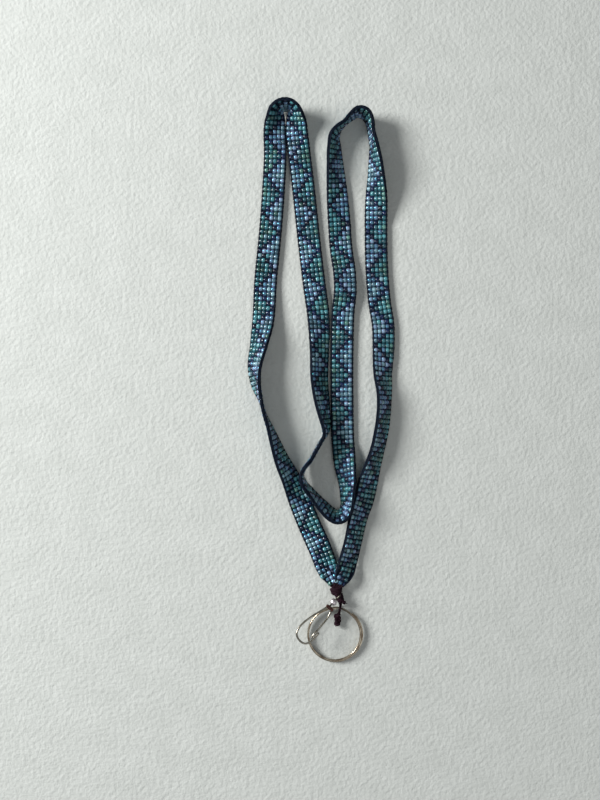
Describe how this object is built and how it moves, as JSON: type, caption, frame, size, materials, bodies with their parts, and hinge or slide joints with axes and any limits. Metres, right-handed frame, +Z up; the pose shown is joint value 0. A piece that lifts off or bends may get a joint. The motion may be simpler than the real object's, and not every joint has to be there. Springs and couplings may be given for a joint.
{
  "type": "beaded neck lanyard",
  "caption": "Bead-woven neck strap folded in a flat bundle, its ends bound with thread to a split key ring and a small bent-wire clip with a ball swivel.",
  "frame": {"origin": "centre of the folded lanyard's outline, on the surface that it lies on", "axes": "+Y from the ring towards the strap's far folds, +Z up out of the surface, +X to the right"},
  "size_m": [0.066, 0.2518, 0.0128],
  "materials": {
    "bead_glass": "glossy seed beads in teal, light blue, periwinkle and navy",
    "thread": "waxed dark plum thread",
    "ring_nickel": "worn warm nickel plate",
    "snap_steel": "polished spring steel",
    "collar_copper": "tarnished copper"
  },
  "bodies": {
    "strap": {"band_left_arm_foot": "bead_glass", "band_left_arm_low": "bead_glass", "band_left_arm_high": "bead_glass", "band_left_twist": "bead_glass", "band_left_bend": "bead_glass", "band_leg_1_low": "bead_glass", "band_leg_1_high": "bead_glass", "band_left_fold_outer": "bead_glass", "band_left_fold_inner": "bead_glass", "band_leg_2_high": "bead_glass", "band_leg_2_low": "bead_glass", "band_leg_2_roll": "bead_glass", "band_leg_2_edge": "bead_glass", "band_corner": "bead_glass", "band_lower_loop": "bead_glass", "band_curl": "bead_glass", "band_leg_3_foot": "bead_glass", "band_leg_3_low": "bead_glass", "band_leg_3_high": "bead_glass", "band_leg_3_roll": "bead_glass", "band_right_fold_rise": "bead_glass", "band_right_fold_top": "bead_glass", "band_right_fold_fall": "bead_glass", "band_leg_4_high": "bead_glass", "band_leg_4_low": "bead_glass", "band_right_bend": "bead_glass", "band_right_arm_high": "bead_glass", "band_right_arm_low": "bead_glass", "band_right_arm_foot": "bead_glass", "end_wrap": "thread", "tail_wrap": "thread", "wrap_knot": "thread", "swivel_bail": "thread"},
    "ring_sling": {"ring_loop": "thread", "thread_tail": "thread"},
    "ring": {"split_ring": "ring_nickel"},
    "swivel": {"swivel_eye": "snap_steel", "swivel_ball": "snap_steel"},
    "clip": {"swivel_stem": "snap_steel", "clip_collar": "collar_copper", "snap_wire": "snap_steel"},
    "gate": {"snap_gate": "snap_steel"}
  },
  "joints": [
    {"name": "ring_swing", "type": "hinge", "parent": "strap", "child": "ring_sling", "pos_m": [0.0087, -0.1025, 0.0022], "axis": [0.9848, -0.1736, 0], "range_deg": [-5, 100]},
    {"name": "ring_turn", "type": "hinge", "parent": "ring_sling", "child": "ring", "pos_m": [0.00663, -0.11423, 0.00167], "axis": [0, -0.0454, 0.999], "continuous": true},
    {"name": "clip_lift", "type": "hinge", "parent": "strap", "child": "swivel", "pos_m": [0.00782, -0.09663, 0.00525], "axis": [-0.7302, 0.6833, 0], "range_deg": [0, 100]},
    {"name": "clip_swivel", "type": "hinge", "parent": "swivel", "child": "clip", "pos_m": [0.0057, -0.0989, 0.0058], "axis": [-0.6729, -0.7191, 0.1737], "continuous": true},
    {"name": "gate_spring", "type": "hinge", "parent": "clip", "child": "gate", "pos_m": [0.0044, -0.10321, 0.00651], "axis": [-0.1186, -0.1268, -0.9848], "range_deg": [0, 20], "stiffness_Nm_per_rad": 0.0015}
  ]
}
